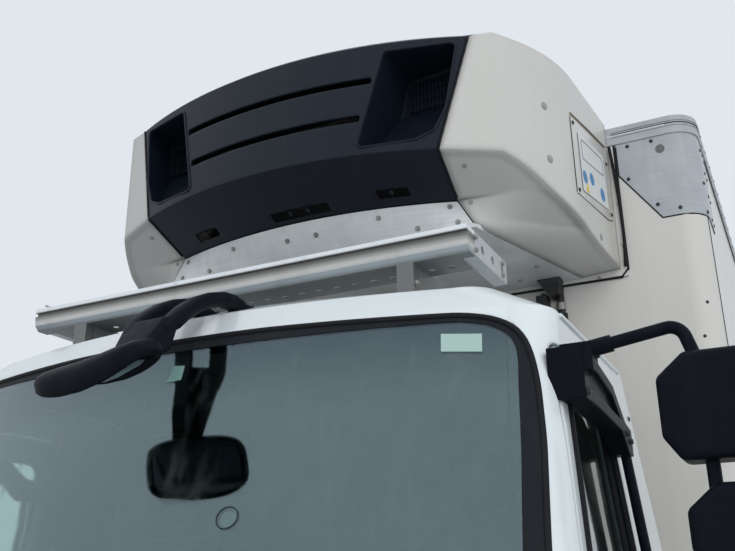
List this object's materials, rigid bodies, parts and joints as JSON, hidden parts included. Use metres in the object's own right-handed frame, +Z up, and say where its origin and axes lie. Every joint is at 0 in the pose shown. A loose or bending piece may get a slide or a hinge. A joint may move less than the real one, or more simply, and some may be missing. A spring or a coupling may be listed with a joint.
{
  "type": "refrigerated box truck",
  "caption": "Two-axle cab-over truck with an insulated load box, a nose-mounted cooling unit, opening doors, a tilting cab, steering and turning wheels.",
  "frame": {"origin": "on the ground, midway along the truck on its centreline", "axes": "+Z up, -Y towards the front bumper, +X to the truck's left"},
  "size_m": [2.85, 7.76, 3.5],
  "materials": {
    "chassis_paint": "satin dark grey paint",
    "cast_black": "black painted casting",
    "spring_steel": "black painted spring steel",
    "engine_grey": "plain grey casting",
    "bar_aluminium": "brushed mill finish",
    "tank_aluminium": "brushed tank plate",
    "box_plastic": "ribbed cover",
    "black_plastic": "grained black plastic",
    "bumper_white": "cool white gloss paint",
    "floor_panel": "grey resin coated floor",
    "panel_white": "warm white laminate",
    "frame_steel": "stainless door frame",
    "unit_black": "charcoal moulding",
    "unit_white": "warm white moulding",
    "pan_grey": "grey coated pan",
    "cab_white": "cool white gloss paint",
    "tinted_glass": "tinted glazing",
    "trim_plastic": "dark cab trim",
    "black_rubber": "soft rim",
    "seat_fabric": "dark woven cloth",
    "wheel_silver": "silver wheel paint",
    "tyre": "road tyre",
    "lamp_lens": "clear and red lenses"
  },
  "bodies": {
    "chassis": {"frame_rails": "chassis_paint", "front_axle_beam": "cast_black", "rear_axle": "cast_black", "leaf_springs": "spring_steel", "engine_block": "engine_grey", "propshaft": "cast_black", "guard_bars": "bar_aluminium", "lamps": "lamp_lens", "fuel_tank": "tank_aluminium", "side_boxes": "box_plastic", "mudguards": "black_plastic", "front_bumper": "bumper_white", "entry_steps": "black_plastic", "box_floor": "floor_panel", "box_side_walls": "panel_white", "box_front_wall": "panel_white", "box_roof": "panel_white", "box_rails": "bar_aluminium", "rear_frame": "frame_steel", "unit_front_cover": "unit_black", "unit_side_shells": "unit_white", "unit_base_pan": "pan_grey", "unit_core": "engine_grey"},
    "cab": {"cab_shell": "cab_white", "windscreen": "tinted_glass", "dashboard": "trim_plastic", "seats": "seat_fabric", "light_bar": "bar_aluminium", "front_mirror": "black_plastic"},
    "steering_wheel_body": {"steering_wheel": "black_rubber"},
    "cab_door_left": {"door_left": "cab_white", "door_glass_left": "tinted_glass", "mirror_left": "black_plastic"},
    "cab_door_right": {"door_right": "cab_white", "door_glass_right": "tinted_glass", "mirror_right": "black_plastic"},
    "steer_left": {"knuckle_left": "cast_black"},
    "steer_right": {"knuckle_right": "cast_black"},
    "wheel_front_left": {"rim_front_left": "wheel_silver", "tyre_front_left": "tyre"},
    "wheel_front_right": {"rim_front_right": "wheel_silver", "tyre_front_right": "tyre"},
    "wheels_rear_left": {"rims_rear_left": "wheel_silver", "tyres_rear_left": "tyre"},
    "wheels_rear_right": {"rims_rear_right": "wheel_silver", "tyres_rear_right": "tyre"},
    "load_door_left": {"rear_door_left": "panel_white"},
    "load_door_right": {"rear_door_right": "panel_white"}
  },
  "joints": [
    {"name": "cab_tilt", "type": "hinge", "parent": "chassis", "child": "cab", "pos_m": [0, -3.775, 0.9], "axis": [1, 0, 0], "range_deg": [0, 45]},
    {"name": "cab_door_left_hinge", "type": "hinge", "parent": "cab", "child": "cab_door_left", "pos_m": [1.11152, -3.462, 1.4], "axis": [0.1006, 0, -0.9949], "range_deg": [0, 68]},
    {"name": "cab_door_right_hinge", "type": "hinge", "parent": "cab", "child": "cab_door_right", "pos_m": [-1.11152, -3.462, 1.4], "axis": [0.1006, 0, 0.9949], "range_deg": [0, 68]},
    {"name": "steering_wheel_turn", "type": "hinge", "parent": "cab", "child": "steering_wheel_body", "pos_m": [0.6, -3.33, 1.53], "axis": [0, 0.5, 0.866], "range_deg": [-720, 720]},
    {"name": "steer_left_turn", "type": "hinge", "parent": "chassis", "child": "steer_left", "pos_m": [0.8, -2.63, 0.4], "axis": [0, 0, 1], "range_deg": [-38, 38]},
    {"name": "steer_right_turn", "type": "hinge", "parent": "chassis", "child": "steer_right", "pos_m": [-0.8, -2.63, 0.4], "axis": [0, 0, 1], "range_deg": [-38, 38]},
    {"name": "wheel_front_left_spin", "type": "hinge", "parent": "steer_left", "child": "wheel_front_left", "pos_m": [0.945, -2.63, 0.4], "axis": [1, 0, 0], "continuous": true},
    {"name": "wheel_front_right_spin", "type": "hinge", "parent": "steer_right", "child": "wheel_front_right", "pos_m": [-0.945, -2.63, 0.4], "axis": [1, 0, 0], "continuous": true},
    {"name": "wheels_rear_left_spin", "type": "hinge", "parent": "chassis", "child": "wheels_rear_left", "pos_m": [0.88, 1.57, 0.4], "axis": [1, 0, 0], "continuous": true},
    {"name": "wheels_rear_right_spin", "type": "hinge", "parent": "chassis", "child": "wheels_rear_right", "pos_m": [-0.88, 1.57, 0.4], "axis": [1, 0, 0], "continuous": true},
    {"name": "load_door_left_hinge", "type": "hinge", "parent": "chassis", "child": "load_door_left", "pos_m": [1.3, 3.815, 2.2], "axis": [0, 0, -1], "range_deg": [0, 265]},
    {"name": "load_door_right_hinge", "type": "hinge", "parent": "chassis", "child": "load_door_right", "pos_m": [-1.3, 3.815, 2.2], "axis": [0, 0, 1], "range_deg": [0, 265]}
  ],
  "couplings": [
    {"joint": "steer_left_turn", "follows": "steering_wheel_turn", "ratio": 0.052778},
    {"joint": "steer_right_turn", "follows": "steering_wheel_turn", "ratio": 0.052778}
  ]
}
